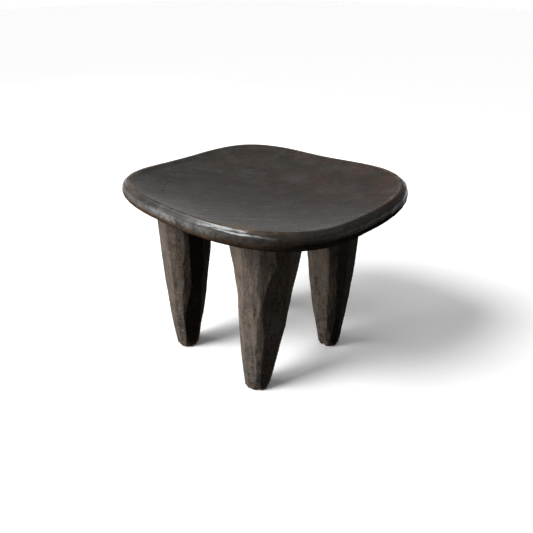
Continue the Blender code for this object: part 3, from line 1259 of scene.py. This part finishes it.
        scribed = []
        for column in range(columns):
            height = self.shoulder
            for _ in range(self.scribe_rounds):
                place = self.stand @ between(height, column)
                height = self.seat.underside(place.x, place.y)
            scribed.append(height + self.shoulder_bite)
        for vert in bm.verts:
            column = round(math.atan2(-vert.co.x, vert.co.y) / (2 * math.pi) * columns) % columns
            row = round((vert.co.z + 0.5) * self.rows)
            rise = smooth_step(self.scribe_from, 1.0, heights[row] / self.shoulder)
            vert.co = between(heights[row] + (scribed[column] - self.shoulder) * rise, column)

    def reach(self, facing: Vector, height: float) -> float:
        """How far the leg reaches in one direction, at one height."""
        return max(corner.dot(facing) for corner in self.corners(height))

    def strike(self, bm: BMesh, stroke: Stroke) -> None:
        """Take one stroke off the leg.

        Args:
            bm: The leg, in its own frame.
            stroke: The stroke.
        """
        half = stroke.length / 2
        facing = direction(stroke.angle)
        aside = Vector((-facing.y, facing.x, 0.0))
        low = self.reach(facing, stroke.height - half)
        high = self.reach(facing, stroke.height + half)
        for vert in bm.verts:
            run = (vert.co.z - stroke.height) / half
            if abs(run) >= 1 or vert.co.dot(facing) <= 0:
                continue
            taken = stroke.depth * (1 - run * run)
            if stroke.blade is Blade.SCOOP:
                across = vert.co.dot(aside) / (stroke.width / 2)
                vert.co -= facing * max(0.0, taken - stroke.depth * across * across)
            else:
                surface = low + (high - low) * (run + 1) / 2
                vert.co -= facing * max(0.0, vert.co.dot(facing) - surface + taken)

    def weather(self, bm: BMesh) -> None:
        """Add shallow adze marks over the faces, and round and chip the foot."""
        seed = self.cuts * self.seed_step
        for vert in bm.verts:
            x, y, z = vert.co
            out = Vector((x, y, 0.0))
            radius = out.length
            if radius < MERGE_DISTANCE:
                continue
            out /= radius
            angle = math.atan2(out.y, out.x)
            cell = wrapped(math.cos(angle) * radius, math.sin(angle) * radius, z, self.adze_scale, seed)
            inward = self.adze_depth * max(0.0, 1 - tool_mark(cell))
            inward += self.grit * noise.noise(wrapped(x, y, z, self.grit_scale, seed))
            low = 1 - min(z / self.foot_round, 1.0)
            inward += self.foot_round * (1 - math.sqrt(max(0.0, 1 - low * low)))
            bite = noise.noise(wrapped(out.x, out.y, z, self.chip_scale, seed))
            chipped = smooth_step(self.chip_height, 0.0, z) * max(0.0, bite - self.chip_from)
            vert.co -= out * (inward + self.chip_depth * chipped)

    @property
    def tenon_radius(self) -> float:
        """Radius of the tenon."""
        return self.depth / 2 - self.shoulder_width

    @property
    def tenon_top(self) -> float:
        """Height of the tenon's end, inside the seat."""
        return self.shoulder + self.seat.thickness - self.mortise_roof - self.mortise_gap

    def raise_tenon(self, bm: BMesh) -> None:
        """Draw the shoulder in to the round tenon and raise it into the seat.

        Args:
            bm: The leg, in its own frame.
        """
        lids = [face for face in bm.faces if len(face.verts) > 4]
        ring, lid = raise_lid(bm, max(lids, key=lambda face: face.calc_center_median().z))
        for vert in ring:
            angle = math.atan2(vert.co.y, vert.co.x)
            vert.co.x = self.tenon_radius * math.cos(angle)
            vert.co.y = self.tenon_radius * math.sin(angle)
            place = self.stand @ vert.co
            vert.co.z = self.seat.underside(place.x, place.y)
        for vert in raise_lid(bm, lid)[0]:
            vert.co.z = self.tenon_top

    def painted_shade_at(self, vert: BMVert) -> float:
        """How much painted shade a point gets, by the way that the face there looks: the side turned from the
        light is painted dark.
        """
        towards = direction(math.degrees(self.outward) + self.painted_shade_turn)
        return self.painted_shade_share * smooth_step(self.painted_shade_from, self.painted_shade_full, vert.normal.dot(towards))

    def add_mortise(self, bm: BMesh) -> None:
        """Add the shape of this leg's mortise to a cutter for the seat."""
        radius = self.tenon_radius + self.mortise_gap
        low = self.shoulder - self.shoulder_width / 2
        high = self.tenon_top + self.mortise_gap
        place = self.stand @ Matrix.Translation((0, 0, (low + high) / 2))
        bmesh.ops.create_cone(bm, cap_ends=True, segments=self.tenon_sides, radius1=radius, radius2=radius,
                              depth=high - low, matrix=place)

    def build(self) -> bpy.types.Object:
        """Make the leg.

        Returns:
            The leg, in place.
        """
        bm = self.blank()
        self.hew(bm)
        for stroke in self.all_strokes:
            self.strike(bm, stroke)
        self.weather(bm)
        inner = [vert for vert in bm.verts if len(vert.link_faces) == 4]
        bmesh.ops.smooth_vert(bm, verts=inner, factor=self.smoothing, use_axis_x=True, use_axis_y=True,
                              use_axis_z=True)
        self.raise_tenon(bm)
        bmesh.ops.transform(bm, matrix=self.stand, verts=bm.verts)
        bmesh.ops.recalc_face_normals(bm, faces=bm.faces)
        bm.normal_update()
        # the painted shade and the leg's painted light level go onto its points
        keep_mark(bm, Mark.PAINTED_SHADE, self.painted_shade_at)
        keep_mark(bm, Mark.PAINTED_LIGHT_LEVEL, lambda vert: self.painted_light_level)
        keep_relief(bm, self.relief_gain)
        return add_piece("stool_" + self.name, bm)

    def dress(self, leg: bpy.types.Object, finish: bpy.types.Material) -> None:
        """Give the leg its finish and its place in the frame."""
        leg.data.materials.append(finish)
        hand_over(leg, self.name)


def stool_legs(seat: Seat) -> list[HewnLeg]:
    """The four legs of the seat, as the photograph shows them."""
    # each leg's wood is painted lighter or darker for the light that reaches it, and two legs carry painted
    # shade on the side turned from the light
    return [
        HewnLeg("leg_front_left", seat, -1, -1, 0.000, 0.001, 0.0065, 0.000,
                (22, 56, 82, 106, 142, 180, 222, 262, 304, 346), 132,
                (Stroke(115, 0.053, 0.096, 0.0012),
                 Stroke(80, 0.165, 0.110, 0.0026),
                 Stroke(76, 0.116, 0.026, 0.0008)),
                painted_shade_turn=142, painted_shade_from=0.55, painted_shade_full=0.85, painted_shade_share=0.90, painted_light_level=0.86),
        HewnLeg("leg_front_right", seat, 1, -1, 0.002, 0.0022, 0.0030, -0.0125,
                (13, 42, 80, 118, 158, 194, 232, 270, 314, 356), 455,
                (Stroke(-38, 0.112, 0.250, 0.0030),
                 Stroke(-2, 0.120, 0.230, 0.0007),
                 Stroke(22, 0.100, 0.190, 0.0017),
                 Stroke(21, 0.128, 0.130, 0.0062),
                 Stroke(-24, 0.135, 0.052, 0.0022),
                 Stroke(-15, 0.063, 0.038, 0.0036)),
                painted_light_level=1.15),
        HewnLeg("leg_back_right", seat, 1, 1, -0.003, -0.001, 0.0028, 0.000,
                (20, 58, 98, 138, 178, 210, 255, 282, 306, 342), 250,
                (Stroke(-56, 0.087, 0.008, 0.0010, Blade.SCOOP, 0.005),),
                painted_shade_turn=-45, painted_shade_from=0.3, painted_shade_full=0.8, painted_shade_share=0.6, painted_light_level=1.45),
        HewnLeg("leg_back_left", seat, -1, 1, 0.000, 0.001, 0.0020, 0.002,
                (8, 40, 80, 118, 150, 190, 228, 262, 300, 332), 41),
    ]


@dataclass(frozen=True)
class SoftPanel:
    """A soft lamp that faces the stool, placed by its turn and rise round a point above the floor."""
    name: str
    turn: float
    rise: float
    away: float
    aim: float
    size: Pair
    power: float
    shape: str = "RECTANGLE"
    colour: Colour = (1.0, 1.0, 1.0)
    lights_wood: bool = True
    shows_in_wax: bool = False

    def stand(self) -> None:
        """Put the lamp in the scene."""
        towards = direction(self.turn, self.rise)
        lamp = bpy.data.lights.new(self.name, "AREA")
        lamp.shape = self.shape
        lamp.size, lamp.size_y = self.size
        lamp.energy = self.power
        lamp.color = self.colour
        panel = hang(self.name, lamp, towards * self.away + Vector((0.0, 0.0, self.aim)), -towards)
        panel.visible_diffuse = self.lights_wood
        panel.visible_glossy = self.shows_in_wax


@dataclass(frozen=True)
class Studio:
    """A pale floor, a broad key lamp, soft panels round the stool and a camera at the photograph's place."""
    camera_place: tuple[float, float, float] = (0.54340, -0.56768, 0.50864)
    camera_target: tuple[float, float, float] = (0.00755, 0.00495, 0.12580)
    lens: float = 41.55
    sensor: float = 36.0
    lamp_away: float = 2.0
    lamp_turn: float = 248.0
    lamp_rise: float = 43.5
    lamp_spread: float = 24.0
    lamp_strength: float = 3.05
    panels: tuple[SoftPanel, ...] = (
        SoftPanel("side_panel", 229.0, 0.0, 1.3, 0.36, (1.1, 0.7), 26.0),
        SoftPanel("back_panel", 104.0, 0.0, 1.9, 0.20, (1.6, 0.36), 26.0),
        SoftPanel("wax_card", 243.0, 50.0, 1.5, 0.24, (2.0, 0.42), 92.0, "ELLIPSE", (0.90, 0.96, 1.0),
                  lights_wood=False, shows_in_wax=True),
    )
    sweep_top: float = 2.0
    ceiling_from: float = 10.0
    ceiling: float = 0.30
    fill: float = 0.05
    floor_size: float = 8.0
    floor_colour: Colour = (0.96, 0.96, 0.96)
    floor_bounce: Colour = (0.14, 0.14, 0.14)
    floor_lift: float = 0.31
    contact_reach: float = 0.26
    contact_shade: float = 1.4

    def build(self) -> None:
        """Set up the floor, the light and the camera."""
        self.lay_floor()
        self.hang_lamp()
        for panel in self.panels:
            panel.stand()
        self.set_world()
        self.set_camera()
        bpy.context.scene.view_settings.view_transform = "Standard"

    def seen(self, graph: Graph) -> Socket:
        """1 for what the camera sees, by itself or in gloss and glass."""
        rays = graph.node("ShaderNodeLightPath").outputs
        mirrored = graph.math("MAXIMUM", rays["Is Glossy Ray"], rays["Is Transmission Ray"])
        return graph.math("MAXIMUM", rays["Is Camera Ray"], mirrored)

    def lay_floor(self) -> None:
        """A wide white floor that keeps the stool's shadow, and whose glow fades round the stool as a painted
        contact shadow.
        """
        bm = bmesh.new()
        bmesh.ops.create_grid(bm, x_segments=1, y_segments=1, size=self.floor_size)
        floor = add_piece("floor", bm)
        material = bpy.data.materials.new("pale_floor")
        material.use_nodes = True
        material.node_tree.nodes.clear()
        graph = Graph(material.node_tree)
        seen = self.seen(graph)
        colour = graph.mix(seen, self.floor_bounce, self.floor_colour)
        matt = graph.node("ShaderNodeBsdfDiffuse", {"Color": colour})
        # the glow fades where the stool closes the floor in: a painted contact shadow round the feet and
        # under the seat
        open_floor = graph.node("ShaderNodeAmbientOcclusion", {"Distance": self.contact_reach}).outputs["AO"]
        lift = graph.math("MULTIPLY", graph.math("POWER", open_floor, self.contact_shade), self.floor_lift)
        glow = graph.node("ShaderNodeEmission", {"Strength": graph.math("MULTIPLY", seen, lift)})
        both = graph.node("ShaderNodeAddShader")
        graph.feed(both.inputs[0], matt.outputs["BSDF"])
        graph.feed(both.inputs[1], glow.outputs["Emission"])
        graph.node("ShaderNodeOutputMaterial", {"Surface": both.outputs["Shader"]})
        floor.data.materials.append(material)

    def hang_lamp(self) -> None:
        """One broad lamp from the front left."""
        towards = direction(self.lamp_turn, self.lamp_rise)
        lamp = bpy.data.lights.new("key_lamp", "SUN")
        lamp.energy = self.lamp_strength
        lamp.angle = math.radians(self.lamp_spread)
        hang("key_lamp", lamp, towards * self.lamp_away, -towards)

    def set_world(self) -> None:
        """A white sweep round the stool under a dim ceiling; the camera sees it as plain white."""
        world = bpy.data.worlds.new("studio")
        world.use_nodes = True
        graph = Graph(world.node_tree)
        background = world.node_tree.nodes["Background"]
        rays = graph.node("ShaderNodeLightPath").outputs
        facing = graph.node("ShaderNodeTexCoord").outputs["Generated"]
        rise = graph.node("ShaderNodeSeparateXYZ", {"Vector": facing}).outputs["Z"]
        low, high = (math.sin(math.radians(angle)) for angle in (self.sweep_top, self.ceiling_from))
        room = graph.span(rise, low, high, 1.0, self.ceiling)
        gloss = graph.math("MULTIPLY", room, rays["Is Glossy Ray"])
        dim = graph.math("MULTIPLY", room, self.fill)
        plain = graph.math("MAXIMUM", rays["Is Camera Ray"], rays["Is Transmission Ray"])
        room_light = graph.math("MAXIMUM", gloss, dim)
        graph.feed(background.inputs["Strength"], graph.math("MAXIMUM", plain, room_light))
        background.inputs["Color"].default_value = (1.0, 1.0, 1.0, 1.0)
        bpy.context.scene.world = world

    def set_camera(self) -> None:
        """The camera at the photograph's angle."""
        data = bpy.data.cameras.new("camera")
        data.lens = self.lens
        data.sensor_width = self.sensor
        place = Vector(self.camera_place)
        bpy.context.scene.camera = hang("camera", data, place, Vector(self.camera_target) - place)


def main() -> None:
    """Load the frame, build the stool over it and light it."""
    logging.basicConfig(level=logging.INFO, format="%(message)s")
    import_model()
    effects = Effects()
    seat_wood = [finish.material(effects) for finish in (WaxedSeatWood(), ThinWaxSeatWood(), DrySeatWood())]
    leg_wood = HewnLegWood().material(effects)
    seat = Seat()
    legs = stool_legs(seat)
    top = seat.build(legs)
    seat.dress(top, seat_wood)
    log.info("%s: %d faces", top.name, len(top.data.polygons))
    for leg in legs:
        obj = leg.build()
        leg.dress(obj, leg_wood)
        log.info("%s: %d faces", obj.name, len(obj.data.polygons))
    Studio().build()


if __name__ == "__main__":
    main()
